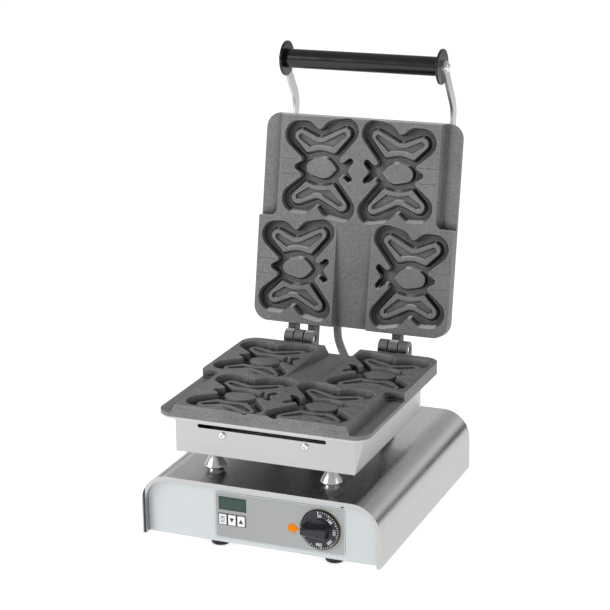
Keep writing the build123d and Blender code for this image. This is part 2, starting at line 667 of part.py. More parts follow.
def make_handle_arm(side):
    """Flat bar from a foot on the housing's front wall, bent forward to the grip."""
    foot, bend, tip = arm_point(261, arm_foot_w), arm_point(arm_bend_v, arm_foot_w), arm_point(grip_v, grip_w)
    x0 = grip_half_l + disc_t if side > 0 else -grip_half_l - disc_t - arm_t
    sideways = Plane((x0, 0, 0), x_dir=(0, 1, 0), z_dir=(1, 0, 0))
    band = trace(FilletPolyline((foot[0] - arm_w / 2, foot[1]), bend, tip, radius=arm_bend_r), line_width=arm_w)
    arm = extrude(sideways * band, arm_t) + rod((x0, *tip), (x0 + arm_t, *tip), arm_w / 2 + 1.5)
    z0, z1 = foot[1] - arm_w / 2, foot[1] + arm_w / 2
    inner = x0 - 16 if side > 0 else x0 + arm_t
    arm += block(x0, x0 + arm_t, tray_front_y - arm_w / 2, tray_front_y, z0, z1)
    arm += block(inner, inner + 16, tray_front_y - arm_t, tray_front_y, z0, z1)
    hole_x = side * (grip_half_l + disc_t - 8)
    arm -= rod((hole_x, tray_front_y - 10, foot[1]), (hole_x, tray_front_y + 5, foot[1]), 2.0)
    return arm - rod((x0 - 1, *tip), (x0 + arm_t + 1, *tip), 4.0)


def grip_axis_point(x):
    return (x, *arm_point(grip_v, grip_w))


def make_grip():
    bar = rod(grip_axis_point(-grip_half_l), grip_axis_point(grip_half_l), grip_r)
    bar = fillet(bar.edges().filter_by(GeomType.CIRCLE), 1.0)
    return bar - rod(grip_axis_point(-grip_half_l - 1), grip_axis_point(grip_half_l + 1), 4.2)


def make_grip_disc(side):
    x0, x1 = side * grip_half_l, side * (grip_half_l + disc_t)
    disc = rod(grip_axis_point(x0), grip_axis_point(x1), disc_r)
    disc = fillet(disc.edges().filter_by(GeomType.CIRCLE), 0.9)
    return disc - rod(grip_axis_point(x0 - side), grip_axis_point(x1 + side), 4.2)


def make_tie_rod():
    """Rod through the grip, with a thread for a bolt in each end."""
    reach = grip_half_l + disc_t - 0.2
    return rod(grip_axis_point(-reach), grip_axis_point(reach), 4.0)


def make_grip_bolts():
    """Domed bolts that clamp the arms, discs and grip together."""
    bolts = []
    for side in (-1, 1):
        inner = side * (grip_half_l + disc_t - 0.2)
        outer = side * (grip_half_l + disc_t + arm_t)
        shank = rod(grip_axis_point(inner), grip_axis_point(outer), 4.0)
        head = rod(grip_axis_point(outer), grip_axis_point(outer + side * 4.5), 6.5)
        head = fillet(head.faces().sort_by(Axis.X)[-1 if side > 0 else 0].edges(), 3.5)
        bolts.append(shank + head)
    return joined(bolts)


def make_arm_screws():
    screws = []
    _, z = arm_point(0, arm_foot_w)
    for side in (-1, 1):
        x = side * (grip_half_l + disc_t - 8)
        y = tray_front_y - arm_t
        head = rod((x, y - 2.4, z), (x, y, z), 4.2)
        shank = rod((x, y, z), (x, y + arm_t, z), 2.0)
        screws.append(fillet(head.faces().sort_by(Axis.Y)[0].edges(), 2.0) + shank)
    return joined(screws)


def make_upper_housing():
    return make_housing() - gland_hole(conduit_lid_x, tray_bottom_z + conduit_lid_z)


# ---------------------------------------------------------------- lid placement
def turned_over(shape):
    """The lower unit's place to the lid's closed place: half a turn about the Y direction."""
    return shape.rotate(Axis((0, 0, pin_z), (0, 1, 0)), 180)


def on_lid(shape):
    """The lower unit's place to the open lid's place."""
    return turned_over(shape).rotate(Axis((0, pin_y, pin_z), (1, 0, 0)), -open_angle)


def lid_point(x, y, z):
    """A point of the lower unit carried to the open lid."""
    a = radians(open_angle)
    dy, dz = y - pin_y, pin_z - z
    return (-x, pin_y + dy * cos(a) + dz * sin(a), pin_z - dy * sin(a) + dz * cos(a))


# ---------------------------------------------------------------- the object
def all_nodes():
    nodes = {
        "base_cover": make_base_cover(),
        "front_panel": make_front_panel(),
        "rear_panel": make_rear_panel(),
        "bottom_plate": make_bottom_plate(),
        "foot_screws": make_foot_screws(),
        "standoff_studs": make_standoff_screws(),
        "control_fascia": make_fascia(),
        "display_window": make_display_window(),
        "timer_module": make_timer_module(),
        "pointer_arrow": make_pointer_arrow(),
        "thermostat_knob": make_thermostat_knob(),
        "thermostat_spindle": make_thermostat_spindle(),
        "thermostat_body": make_thermostat_body(),
        "thermostat_bulb": make_thermostat_bulb(),
        "thermostat_capillary": make_capillary(),
        "contactor": make_contactor(),
        "terminal_block": make_terminal_block(),
        "cable_gland": make_cable_gland(),
        "gland_nut": make_gland_nut(),
        "wiring_sleeve": make_wiring_sleeve(),
        "lower_housing": make_lower_housing(),
        "lower_carrier": make_carrier(),
        "lower_baking_plate": make_casting(-1),
        "lower_housing_screws": make_housing_screws(8),
        "lower_heating_element": make_heating_element(),
        "lower_element_clamps": make_element_clamps(),
        "lower_insulation": make_insulation(),
        "hinge_pin_left": make_hinge_pin(-1),
        "hinge_pin_right": make_hinge_pin(1),
        "lower_conduit_gland": make_conduit_gland(conduit_low_x, tray_bottom_z + conduit_low_z),
        "lid_conduit": tube_along(conduit_points(), conduit_r),
        "upper_housing": on_lid(make_upper_housing()),
        "upper_carrier": on_lid(make_carrier()),
        "upper_baking_plate": on_lid(make_casting(-1)),
        "upper_housing_screws": on_lid(make_housing_screws(8)),
        "upper_heating_element": on_lid(make_heating_element()),
        "upper_element_clamps": on_lid(make_element_clamps()),
        "upper_insulation": on_lid(make_insulation()),
        "lid_conduit_gland": on_lid(make_conduit_gland(conduit_lid_x, tray_bottom_z + conduit_lid_z)),
        "handle_arm_left": on_lid(make_handle_arm(1)),
        "handle_arm_right": on_lid(make_handle_arm(-1)),
        "handle_grip": on_lid(make_grip()),
        "grip_disc_left": on_lid(make_grip_disc(1)),
        "grip_disc_right": on_lid(make_grip_disc(-1)),
        "handle_tie_rod": on_lid(make_tie_rod()),
        "grip_bolts": on_lid(make_grip_bolts()),
        "arm_screws": on_lid(make_arm_screws()),
    }
    for name, x in zip(("key_start_stop", "key_down", "key_up"), key_places()):
        nodes[name] = make_key(x)
    corners = ("front_left", "rear_left", "front_right", "rear_right")
    for corner, foot, standoff in zip(corners, foot_spots, standoff_spots):
        nodes[f"foot_{corner}"] = make_foot(*foot)
        nodes[f"standoff_{corner}"] = make_standoff(*standoff)
    return nodes


def main():
    os.makedirs("parts", exist_ok=True)
    for name, shape in all_nodes().items():
        export_step(shape, f"parts/{name}.step")


main()
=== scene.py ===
"""Looks for the countertop waffle baker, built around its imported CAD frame. Metres throughout."""
import json
import math

import bmesh
import bpy
from mathutils import Matrix, Vector


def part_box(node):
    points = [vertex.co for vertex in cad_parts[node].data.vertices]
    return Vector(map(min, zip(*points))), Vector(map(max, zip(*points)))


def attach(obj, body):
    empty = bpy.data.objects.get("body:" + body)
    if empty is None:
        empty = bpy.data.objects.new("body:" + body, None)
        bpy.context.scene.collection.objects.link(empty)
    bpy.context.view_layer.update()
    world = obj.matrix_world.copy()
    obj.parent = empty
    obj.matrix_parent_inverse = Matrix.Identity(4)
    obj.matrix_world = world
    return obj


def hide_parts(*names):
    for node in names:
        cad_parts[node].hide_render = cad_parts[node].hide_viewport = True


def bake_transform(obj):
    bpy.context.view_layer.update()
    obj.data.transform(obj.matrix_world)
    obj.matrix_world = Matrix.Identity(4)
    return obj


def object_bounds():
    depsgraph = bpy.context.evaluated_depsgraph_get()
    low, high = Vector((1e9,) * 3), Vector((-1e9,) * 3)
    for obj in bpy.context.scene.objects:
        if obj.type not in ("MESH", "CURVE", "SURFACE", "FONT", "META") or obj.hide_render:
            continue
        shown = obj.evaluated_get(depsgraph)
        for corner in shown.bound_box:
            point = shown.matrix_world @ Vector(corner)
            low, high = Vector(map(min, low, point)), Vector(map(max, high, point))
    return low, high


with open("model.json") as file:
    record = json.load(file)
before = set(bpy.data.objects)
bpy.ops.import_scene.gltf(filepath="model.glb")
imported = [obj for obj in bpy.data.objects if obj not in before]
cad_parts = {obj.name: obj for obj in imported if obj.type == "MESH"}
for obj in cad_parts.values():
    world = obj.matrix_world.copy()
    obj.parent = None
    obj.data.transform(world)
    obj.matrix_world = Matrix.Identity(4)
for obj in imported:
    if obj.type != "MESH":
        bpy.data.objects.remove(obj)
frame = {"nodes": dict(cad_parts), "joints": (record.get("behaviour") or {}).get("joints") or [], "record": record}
cad_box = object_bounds()
nodes = frame["nodes"]
scene = bpy.context.scene
collection = scene.collection
scene.view_settings.view_transform = "Standard"

# ---------------------------------------------------------------- camera
YAW, PITCH, ROLL = math.radians(22.355), math.radians(16.926), math.radians(-0.686)
CAMERA_PLACE = Vector((0.85748, -2.13279, 0.97366))
LENS_MM, SENSOR_MM = 112.95, 36.0
NEAREST, FARTHEST = 0.05, 50.0


def make_camera():
    back = Vector((math.sin(YAW) * math.cos(PITCH), -math.cos(YAW) * math.cos(PITCH), math.sin(PITCH)))
    level = Vector((math.cos(YAW), math.sin(YAW), 0.0))
    up = back.cross(level)
    right = math.cos(ROLL) * level + math.sin(ROLL) * up
    upward = -math.sin(ROLL) * level + math.cos(ROLL) * up
    data = bpy.data.cameras.new("camera")
    data.lens, data.sensor_width = LENS_MM, SENSOR_MM
    data.clip_start, data.clip_end = NEAREST, FARTHEST
    camera = bpy.data.objects.new("camera", data)
    collection.objects.link(camera)
    turn = Matrix((right, upward, back)).transposed().to_4x4()
    camera.matrix_world = Matrix.Translation(CAMERA_PLACE) @ turn
    scene.camera = camera


make_camera()

# ---------------------------------------------------------------- the conduit between the housings
CONDUIT_ROUTE = [
    (0.0040, 0.07165, 0.15400), (0.0040, 0.09305, 0.15400), (-0.0040, 0.11305, 0.15800),
    (-0.0200, 0.12905, 0.17100), (-0.0300, 0.135553, 0.190350), (-0.0300, 0.139562, 0.211982)]
CONDUIT_LENGTH, CONDUIT_R = 0.1126, 0.0055
CONDUIT_FACETS = 28
ROUTE_ORDER, ROUTE_STEPS = 3, 16  # a quadratic line, with this many steps between points


def route_line(points):
    """Points along the smooth line that the route's points control."""
    curve = bpy.data.curves.new("route", "CURVE")
    curve.dimensions = "3D"
    spline = curve.splines.new("NURBS")
    spline.points.add(len(points) - 1)
    for target, place in zip(spline.points, points):
        target.co = (*place, 1.0)
    spline.order_u = ROUTE_ORDER
    spline.use_endpoint_u = True
    spline.resolution_u = ROUTE_STEPS
    holder = bpy.data.objects.new("route", curve)
    collection.objects.link(holder)
    bpy.context.view_layer.update()
    line = bpy.data.meshes.new_from_object(holder.evaluated_get(bpy.context.evaluated_depsgraph_get()))
    places = [vertex.co.copy() for vertex in line.vertices]
    bpy.data.objects.remove(holder)
    bpy.data.meshes.remove(line)
    return places


def make_conduit():
    """The sleeved lead as a tube along the route, and the line that it follows."""
    line = route_line(CONDUIT_ROUTE)
    mesh = bmesh.new()
    side = Vector((1, 0, 0))
    rings = []
    for i, place in enumerate(line):
        ahead = (line[min(i + 1, len(line) - 1)] - line[max(i - 1, 0)]).normalized()
        side = (side - ahead * side.dot(ahead)).normalized()
        other = ahead.cross(side)
        ring = []
        for k in range(CONDUIT_FACETS):
            angle = 2 * math.pi * k / CONDUIT_FACETS
            out = math.cos(angle) * side + math.sin(angle) * other
            ring.append(mesh.verts.new(place + CONDUIT_R * out))
        rings.append(ring)
    for lower, upper in zip(rings, rings[1:]):
        for k in range(CONDUIT_FACETS):
            j = (k + 1) % CONDUIT_FACETS
            mesh.faces.new((lower[k], lower[j], upper[j], upper[k]))
    mesh.faces.new(list(reversed(rings[0])))
    mesh.faces.new(rings[-1])
    return finished(mesh, "conduit_tube"), line


# ---------------------------------------------------------------- mesh helpers
MARK_EDGE = 0.00004  # how far a printed mark's front edge is softened
SHARP_ANGLE = math.radians(35)


def finished(mesh, name, smooth=True):
    """Turns a bmesh into an object in the scene."""
    bmesh.ops.recalc_face_normals(mesh, faces=mesh.faces)
    data = bpy.data.meshes.new(name)
    mesh.to_mesh(data)
    mesh.free()
    piece = bpy.data.objects.new(name, data)
    collection.objects.link(piece)
    if smooth:
        for polygon in data.polygons:
            polygon.use_smooth = True
        data.set_sharp_from_angle(angle=SHARP_ANGLE)
    return piece


def dress(piece, material, body):
    """Gives a piece its material, and parents it to the body that it rides on."""
    piece.data.materials.clear()
    piece.data.materials.append(material)
    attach(piece, body)


def marks(name, outlines, front_y, thickness, place=(0.0, 0.0), edge=MARK_EDGE):
    """Flat marks on a face that looks towards -Y, from (x, z) outlines, with softened front edges."""
    mesh = bmesh.new()
    for outline in outlines:
        area = sum(a[0] * b[1] - b[0] * a[1] for a, b in zip(outline, outline[1:] + outline[:1]))
        points = outline if area > 0 else outline[::-1]
        centre = Vector((sum(p[0] for p in points), sum(p[1] for p in points))) / len(points)
        rings = []
        for y, inset in ((front_y + thickness, 0.0), (front_y + edge, 0.0), (front_y, edge)):
            ring = []
            for p in points:
                step = Vector(p) - centre
                kept = step * max(0.0, 1 - inset / max(step.length, 1e-6))
                ring.append(mesh.verts.new((place[0] + centre.x + kept.x, y, place[1] + centre.y + kept.y)))
            rings.append(ring)
        for lower, upper in zip(rings, rings[1:]):
            for k in range(len(points)):
                j = (k + 1) % len(points)
                mesh.faces.new((lower[k], lower[j], upper[j], upper[k]))
        mesh.faces.new(rings[0])
        mesh.faces.new(rings[-1])
    return finished(mesh, name, smooth=False)


def strip(x0, x1, z0, z1):
    """The outline of an upright rectangle."""
    return [(x0, z0), (x1, z0), (x1, z1), (x0, z1)]


def border(x0, x1, z0, z1, width):
    """Four strips round a rectangle."""
    return [strip(x0, x1, z0, z0 + width), strip(x0, x1, z1 - width, z1),
            strip(x0, x0 + width, z0 + width, z1 - width), strip(x1 - width, x1, z0 + width, z1 - width)]


def spun(name, section, place, forward, around):
    """A ring or dome from a closed (radius, along) section, turned about the forward axis."""
    axis = Vector(forward).normalized()
    side = axis.orthogonal().normalized()
    other = axis.cross(side)
    mesh = bmesh.new()
    rings = []
    for k in range(around):
        angle = 2 * math.pi * k / around
        out = math.cos(angle) * side + math.sin(angle) * other
        rings.append([mesh.verts.new(Vector(place) + out * r + axis * a) for r, a in section])
    for k in range(around):
        here, there = rings[k], rings[(k + 1) % around]
        for i in range(len(section)):
            j = (i + 1) % len(section)
            mesh.faces.new((here[i], here[j], there[j], there[i]))
    bmesh.ops.remove_doubles(mesh, verts=mesh.verts, dist=1e-7)
    return finished(mesh, name)


# ---------------------------------------------------------------- shader helpers
BEVEL_SAMPLES, SHELTER_SAMPLES = 4, 6


class Shader:
    """A node material with short calls for the nodes that these finishes use."""

    def __init__(self, name, **sockets):
        self.material = bpy.data.materials.new(name)
        self.material.use_nodes = True
        self.tree = self.material.node_tree
        self.surface = self.tree.nodes["Principled BSDF"]
        for socket, value in sockets.items():
            self.surface.inputs[socket.replace("_", " ")].default_value = value

    def add(self, kind, inputs=None, **settings):
        node = self.tree.nodes.new("ShaderNode" + kind)
        for key, value in settings.items():
            setattr(node, key, value)
        for key, value in (inputs or {}).items():
            self.feed(node.inputs[key], value)
        return node

    def feed(self, socket, value):
        if isinstance(value, bpy.types.NodeSocket):
            self.tree.links.new(value, socket)
        else:
            socket.default_value = value

    def places(self, scale=(1, 1, 1)):
        coords = self.add("TexCoord").outputs["Object"]
        return self.add("Mapping", {"Vector": coords, "Scale": scale}).outputs["Vector"]

    def noise(self, scale, detail=4.0, stretch=(1, 1, 1), roughness=0.55, distortion=0.0):
        inputs = {"Vector": self.places(stretch), "Scale": scale, "Detail": detail, "Roughness": roughness,
                  "Distortion": distortion}
        return self.add("TexNoise", inputs).outputs["Fac"]

    def spread(self, value, low, high, start=0.25, stop=0.75):
        """Maps a noise value onto a range."""
        inputs = {"Value": value, "From Min": start, "From Max": stop, "To Min": low, "To Max": high}
        return self.add("MapRange", inputs).outputs["Result"]

    def math(self, operation, a, b):
        return self.add("Math", {0: a, 1: b}, operation=operation).outputs["Value"]

    def mix(self, factor, a, b):
        node = self.add("Mix", data_type="RGBA")
        self.feed(node.inputs[0], factor)
        self.feed(node.inputs[6], a)
        self.feed(node.inputs[7], b)
        return node.outputs[2]

    def shade(self, colour, factor):
        """A colour times a grey factor."""
        grey = self.add("CombineColor", {"Red": factor, "Green": factor, "Blue": factor}).outputs["Color"]
        node = self.add("Mix", data_type="RGBA", blend_type="MULTIPLY")
        node.inputs[0].default_value = 1.0
        self.feed(node.inputs[6], colour)
        self.feed(node.inputs[7], grey)
        return node.outputs[2]

    def bump(self, height, strength, distance, below=None):
        inputs = {"Height": height, "Strength": strength, "Distance": distance}
        if below is not None:
            inputs["Normal"] = below
        return self.add("Bump", inputs).outputs["Normal"]

    def rounded(self, radius):
        """The face's direction, with sharp edges rounded."""
        return self.add("Bevel", {"Radius": radius}, samples=BEVEL_SAMPLES).outputs["Normal"]

    def edges(self, radius):
        """1 at sharp edges and 0 on flat faces."""
        soft = self.rounded(radius)
        hard = self.add("NewGeometry").outputs["Normal"]
        dot = self.add("VectorMath", {0: soft, 1: hard}, operation="DOT_PRODUCT").outputs["Value"]
        return self.spread(dot, 1.0, 0.0, 0.86, 0.995)

    def shelter(self, distance):
        """0 in deep corners and 1 in the open."""
        return self.add("AmbientOcclusion", {"Distance": distance}, samples=SHELTER_SAMPLES).outputs["AO"]

    def use(self, **links):
        """Feeds the surface's sockets and gives the material back."""
        for socket, value in links.items():
            self.feed(self.surface.inputs[socket.replace("_", " ")], value)
        return self.material


def grey(value, warmth=0.0):
    """A grey, warmer where warmth is over 0."""
    return (value * (1 + warmth), value, value * (1 - warmth), 1.0)


STEEL_WARMTH = 0.01
# Painted shade along the left hem's fold: where its band starts and stops.
FOLD_SHADE_STARTS, FOLD_SHADE_STOPS = (0.0012, 0.0020), (0.0046, 0.0052)  # inwards from the cover's left side


def brushed_steel(name, tone, stretch, rough, contrast, painted_shade_reach=0.0):
    """Stainless sheet with long fine brush lines, a cloudy tone and edges painted slightly lighter as a highlight.

    With a shade distance, corners closer than that and the left hem's fold are painted darker, as painted shade."""
    s = Shader(name, Metallic=1.0)
    lines = s.noise(1.0, 6.0, stretch, 0.7)
    cloud = s.noise(9.0, 3.0, distortion=0.4)
    tint = s.math("MULTIPLY", s.spread(lines, 1 - contrast, 1 + contrast), s.spread(cloud, 0.95, 1.04))
    if painted_shade_reach:
        # Painted shade: darker where ambient occlusion finds nearby surfaces.
        tint = s.math("MULTIPLY", tint, s.spread(s.shelter(painted_shade_reach), 0.60, 1.0, 0.35, 0.80))
        # Painted shade: a darker band along the fold of the left hem.
        across = s.add("SeparateXYZ", {"Vector": s.places()}).outputs["X"]
        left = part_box("base_cover")[0].x
        rise = s.spread(across, 0.0, 1.0, left + FOLD_SHADE_STARTS[0], left + FOLD_SHADE_STARTS[1])
        fall = s.spread(across, 1.0, 0.0, left + FOLD_SHADE_STOPS[0], left + FOLD_SHADE_STOPS[1])
        fold = s.math("MULTIPLY", rise, fall)
        tint = s.math("MULTIPLY", tint, s.spread(fold, 1.0, 0.10, 0.0, 1.0))
    base = s.shade(grey(tone, STEEL_WARMTH), tint)
    # Painted highlight: sharp edges are mixed towards a light grey.
    edge_wear_and_highlight = s.mix(s.math("MULTIPLY", s.edges(0.0006), 0.35), base, grey(0.93))
    roughness = s.math("ADD", s.spread(lines, rough[0], rough[1]), s.spread(cloud, -0.02, 0.03))
    normal = s.bump(lines, 0.10, 0.00015, s.rounded(0.0005))
    return s.use(Base_Color=edge_wear_and_highlight, Roughness=roughness, Normal=normal)


def cast_coat(name, painted_top_highlight=False):
    """Dark non-stick coat over a grainy casting, with painted shade in its corners, and lighter along its edges,
    partly from abrasion and partly as a painted highlight.

    With the top highlight on, faces that look up at rest are painted light grey: a painted highlight where light
    catches the top end."""
    s = Shader(name, Metallic=0.0, Specular_IOR_Level=0.34)
    corner_shade_reach, edge_wear_and_highlight_radius, edge_radius = 0.013, 0.0016, 0.0010
    grain = s.noise(460.0, 4.0, roughness=0.85)
    pebble = s.noise(300.0, 3.0, roughness=0.7)
    cloud = s.noise(16.0, 4.0, distortion=0.5)
    tone = s.math("MULTIPLY", s.spread(grain, 0.45, 1.60), s.spread(cloud, 0.86, 1.14))
    # Painted shade: the coat is darkened where ambient occlusion finds nearby surfaces, in corners and hollows.
    corners = s.spread(s.shelter(corner_shade_reach), 0.03, 1.0, 0.55, 0.94)
    base = s.shade(grey(0.178, -0.01), s.math("MULTIPLY", tone, corners))
    # Edges mixed lighter, varied by a pebble noise: partly abrasion of the coat and partly a painted highlight.
    edge_wear_and_highlight_mask = s.math("MULTIPLY", s.edges(edge_wear_and_highlight_radius), s.spread(pebble, 0.35, 0.95))
    coat_with_wear_and_highlights = s.mix(edge_wear_and_highlight_mask, base, grey(0.44))
    # Painted highlight: faces that look up are mixed towards a light grey, where the top end catches the light.
    if painted_top_highlight:
        normal = s.add("NewGeometry").outputs["Normal"]
        upward = s.add("SeparateXYZ", {"Vector": normal}).outputs["Z"]
        coat_with_wear_and_highlights = s.mix(s.spread(upward, 0.0, 1.0, 0.90, 0.96), coat_with_wear_and_highlights, grey(0.62))
    height = s.math("ADD", grain, s.math("MULTIPLY", pebble, 0.8))
    normal = s.bump(height, 0.55, 0.0005, s.rounded(edge_radius))
    return s.use(Base_Color=coat_with_wear_and_highlights, Roughness=s.spread(pebble, 0.36, 0.54), Normal=normal)


def plated(name):
    """Bright zinc or chrome plate, faintly clouded."""
    s = Shader(name, Metallic=1.0)
    cloud = s.noise(160.0, 4.0, roughness=0.6)
    plain = s.shade(grey(0.80, 0.012), s.spread(cloud, 0.90, 1.05))
    # Edges mixed towards a light grey: partly abrasion and partly a painted highlight.
    edge_wear_and_highlight = s.mix(s.math("MULTIPLY", s.edges(0.0004), 0.5), plain, grey(0.95))
    return s.use(Base_Color=edge_wear_and_highlight, Roughness=s.spread(cloud, 0.12, 0.26),
                 Normal=s.bump(cloud, 0.05, 0.0001, s.rounded(0.0004)))


def moulded(name, colour, rough, grain_scale=1400.0, grain=0.12, edge=0.10, specular=0.5):
    """Moulded plastic or rubber with a fine grain, a faint cloud and edges painted lighter, partly as abrasion and
    partly as a painted highlight.
    """
    s = Shader(name, Metallic=0.0, Specular_IOR_Level=specular)
    fine = s.noise(grain_scale, 3.0, roughness=0.6)
    cloud = s.noise(45.0, 3.0)
    base = s.shade(colour, s.math("MULTIPLY", s.spread(fine, 0.93, 1.07), s.spread(cloud, 0.93, 1.06)))
    lighter = tuple(min(1.0, c * 1.6 + 0.05) for c in colour[:3]) + (1.0,)
    # Edges mixed lighter: partly abrasion and partly a painted highlight.
    edge_wear_and_highlight = s.mix(s.math("MULTIPLY", s.edges(0.0005), edge), base, lighter)
    return s.use(Base_Color=edge_wear_and_highlight, Roughness=s.spread(cloud, rough[0], rough[1]),
                 Normal=s.bump(fine, grain, 0.0001, s.rounded(0.0004)))


def painted_panel(name):
    """Very pale cool sheet with faint brush lines under a satin lacquer."""
    s = Shader(name, Metallic=0.35, Coat_Weight=0.25, Coat_Roughness=0.25)
    lines = s.noise(1.0, 5.0, (14.0, 400.0, 2600.0), 0.7)
    cloud = s.noise(11.0, 3.0, distortion=0.3)
    tint = s.math("MULTIPLY", s.spread(lines, 0.965, 1.03), s.spread(cloud, 0.96, 1.03))
    coated = s.shade((0.575, 0.61, 0.62, 1), tint)
    # Edges mixed towards a light grey: partly abrasion and partly a painted highlight.
    edge_wear_and_highlight = s.mix(s.math("MULTIPLY", s.edges(0.0005), 0.3), coated, grey(0.9))
    return s.use(Base_Color=edge_wear_and_highlight, Roughness=s.spread(lines, 0.30, 0.42),
                 Normal=s.bump(lines, 0.05, 0.0001, s.rounded(0.0004)))


def braided(name, colour):
    """Woven glass-fibre sleeve: two crossing sets of fine diagonal waves."""
    s = Shader(name)
    crossings = []
    for lean in (1.0, -1.0):
        wave = s.add("TexWave", {"Vector": s.places((1.0, 1.0, lean)), "Scale": 190.0, "Distortion": 0.6,
                                 "Detail": 1.0}, wave_type="BANDS", bands_direction="DIAGONAL")
        crossings.append(wave.outputs["Fac"])
    weave = s.math("MAXIMUM", crossings[0], crossings[1])
    fuzz = s.noise(2200.0, 2.0)
    tone = s.math("MULTIPLY", s.spread(weave, 0.80, 1.08, 0.0, 1.0), s.spread(fuzz, 0.93, 1.05))
    base = s.shade(colour, tone)
    return s.use(Base_Color=base, Roughness=s.spread(fuzz, 0.42, 0.60), Normal=s.bump(weave, 0.25, 0.0002))


def fibre(name):
    """Pale insulation board with a felted surface."""
    s = Shader(name)
    fuzz = s.noise(700.0, 6.0, (1, 1, 3), 0.75)
    cloud = s.noise(30.0, 4.0)
    tone = s.math("MULTIPLY", s.spread(fuzz, 0.85, 1.05), s.spread(cloud, 0.92, 1.03))
    base = s.shade((0.86, 0.84, 0.78, 1), tone)
    return s.use(Base_Color=base, Roughness=s.spread(fuzz, 0.85, 1.0), Normal=s.bump(fuzz, 0.6, 0.0008))


def heat_tinted(name):
    """Element sheath, tinted straw and grey-blue by heat."""
    s = Shader(name, Metallic=0.9)
    cloud = s.noise(28.0, 4.0, distortion=0.8)
    fine = s.noise(900.0, 3.0)
    base = s.mix(s.spread(cloud, 0.0, 1.0, 0.35, 0.65), (0.20, 0.17, 0.13, 1), (0.15, 0.16, 0.19, 1))
    return s.use(Base_Color=s.shade(base, s.spread(fine, 0.85, 1.12)), Roughness=s.spread(fine, 0.38, 0.55),
                 Normal=s.bump(fine, 0.12, 0.0001))


def drawn_copper(name):
    """Copper tube, browned in patches."""
    s = Shader(name, Metallic=1.0)
    cloud = s.noise(60.0, 4.0, distortion=0.6)
    base = s.mix(s.spread(cloud, 0.0, 1.0), (0.72, 0.36, 0.22, 1), (0.50, 0.25, 0.16, 1))
    return s.use(Base_Color=base, Roughness=s.spread(cloud, 0.22, 0.42), Normal=s.bump(cloud, 0.08, 0.0001))


def film(name, light, dark):
    """Printed control film: fine matt texture, with a slow change of tone across it."""
    s = Shader(name, Coat_Weight=0.12, Coat_Roughness=0.35)
    low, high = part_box("control_fascia")
    across = s.add("SeparateXYZ", {"Vector": s.places()}).outputs["X"]
    fade = s.spread(across, 0.0, 1.0, low.x, high.x)
    fine = s.noise(2400.0, 2.0)
    base = s.shade(s.mix(fade, dark, light), s.spread(fine, 0.95, 1.05))
    return s.use(Base_Color=base, Roughness=s.spread(fine, 0.40, 0.52), Normal=s.bump(fine, 0.10, 0.00006))


def display_glass(name):
    """Dark green window with a faint row-by-row change, as a filter over a lamp display."""
    s = Shader(name, Coat_Weight=0.2, Coat_Roughness=0.06)
    rows = s.noise(1.0, 2.0, (30.0, 30.0, 1500.0))
    cloud = s.noise(60.0, 2.0)
    tone = s.math("MULTIPLY", s.spread(rows, 0.85, 1.15), s.spread(cloud, 0.85, 1.15))
    return s.use(Base_Color=s.shade((0.004, 0.040, 0.024, 1), tone), Roughness=s.spread(cloud, 0.10, 0.2))


# ---------------------------------------------------------------- finishes
ALONG_X, ALONG_Y = (22.0, 2400.0, 2400.0), (2400.0, 22.0, 2400.0)
# The cover's steel has painted shade in its corners and along its left hem's fold.
cover_steel = brushed_steel("cover_steel", 0.50, ALONG_Y, (0.22, 0.30), 0.05, painted_shade_reach=0.012)
housing_steel = brushed_steel("housing_steel", 0.50, ALONG_X, (0.30, 0.42), 0.10)
arm_steel = brushed_steel("arm_steel", 0.62, (2400.0, 300.0, 25.0), (0.26, 0.36), 0.05)
mill_steel = brushed_steel("mill_steel", 0.56, (90.0, 2400.0, 90.0), (0.32, 0.46), 0.07)
panel_coat = painted_panel("panel_coat")
fascia_film = film("fascia_film", (0.40, 0.41, 0.412, 1), (0.33, 0.335, 0.335, 1))
lens = display_glass("display_lens")
key_white = moulded("key_white", (0.84, 0.85, 0.85, 1), (0.25, 0.36), grain=0.05)
arrow_orange = moulded("arrow_orange", (0.88, 0.235, 0.0, 1), (0.6, 0.7), grain=0.05, edge=0.0, specular=0.08)
dial_plastic = moulded("dial_plastic", (0.010, 0.012, 0.018, 1), (0.20, 0.34), grain=0.08, edge=0.18)
coat = cast_coat("cast_coat")
# The lid's coat has the painted highlight on its faces that look up.
lid_coat = cast_coat("lid_cast_coat", painted_top_highlight=True)
bright_plate = plated("bright_plate")
grip_plastic = moulded("grip_plastic", (0.005, 0.005, 0.0055, 1), (0.14, 0.26), 900.0, 0.05, 0.15)
rubber = moulded("foot_rubber", (0.012, 0.012, 0.012, 1), (0.55, 0.75), 900.0, 0.35, 0.10)
sleeve = braided("conduit_sleeve", (0.34, 0.34, 0.335, 1))
dark_plastic = moulded("dark_plastic", (0.022, 0.022, 0.024, 1), (0.38, 0.55), grain=0.25)
pale_ceramic = moulded("pale_ceramic", (0.78, 0.74, 0.64, 1), (0.35, 0.5), grain=0.2)
sheath = heat_tinted("element_sheath")
board = fibre("fibre_board")
copper = drawn_copper("copper_tube")
ink_dark = moulded("ink_dark", (0.020, 0.020, 0.024, 1), (0.45, 0.6), grain=0.04)
ink_white = moulded("ink_white", (0.86, 0.87, 0.88, 1), (0.40, 0.55), grain=0.04)
lamp_green = moulded("lamp_green", (0.035, 0.120, 0.075, 1), (0.35, 0.5), grain=0.04)
ring_gold = moulded("ring_gold", (0.55, 0.52, 0.38, 1), (0.30, 0.45), grain=0.05)

